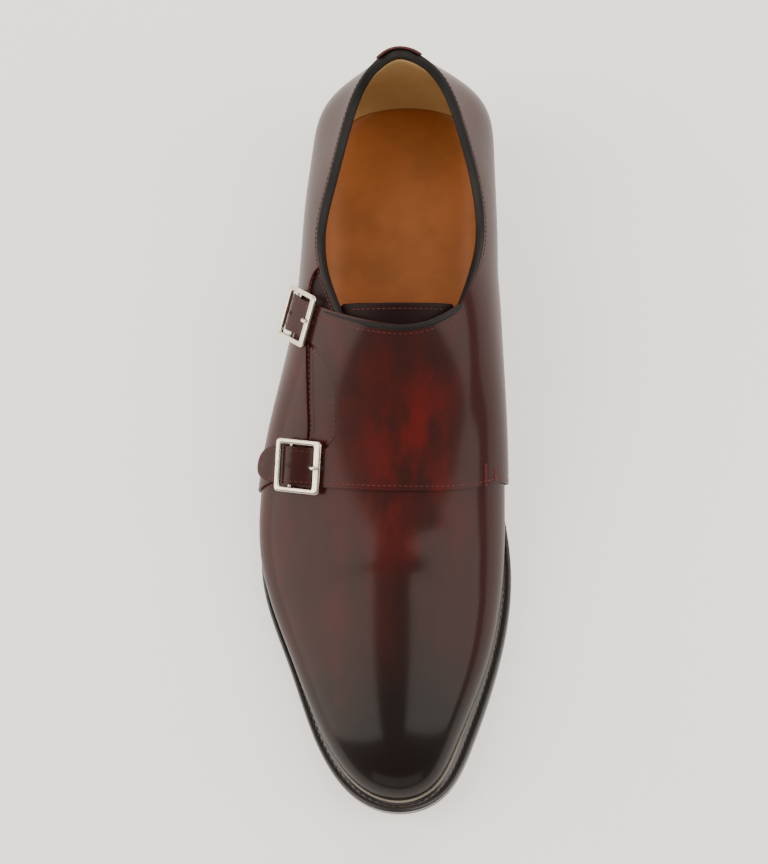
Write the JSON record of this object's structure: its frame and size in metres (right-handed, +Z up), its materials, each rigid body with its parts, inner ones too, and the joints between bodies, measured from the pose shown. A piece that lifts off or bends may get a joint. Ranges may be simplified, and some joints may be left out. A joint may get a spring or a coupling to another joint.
{
  "type": "monk strap shoe",
  "caption": "Double monk strap dress shoe, right foot: hollow lasted leather upper with two buckled straps, welt, leather sole and stacked heel.",
  "frame": {"origin": "centre of the shoe's box, on the ground plane under the sole", "axes": "+Z up, toe towards -Y, heel towards +Y, lateral side with the buckles towards -X, medial side towards +X"},
  "size_m": [0.1033, 0.3024, 0.0887],
  "materials": {
    "upper_leather": "burnished burgundy calf leather with a high polish",
    "sock_leather": "smooth tan lining leather",
    "sole_leather": "waxed black-brown edge leather",
    "heel_rubber": "matt black rubber",
    "buckle_nickel": "polished nickel plate"
  },
  "bodies": {
    "root": {"outsole": "sole_leather", "welt": "sole_leather", "heel_stack": "sole_leather", "heel_top_piece": "heel_rubber", "insole": "sock_leather", "upper": "upper_leather", "tongue": "upper_leather", "strap_panel": "upper_leather", "back_strip": "upper_leather", "buckle_frame_upper": "buckle_nickel", "buckle_prong_upper": "buckle_nickel", "buckle_tab_upper": "upper_leather", "buckle_frame_lower": "buckle_nickel", "buckle_prong_lower": "buckle_nickel", "buckle_tab_lower": "upper_leather"}
  },
  "joints": []
}
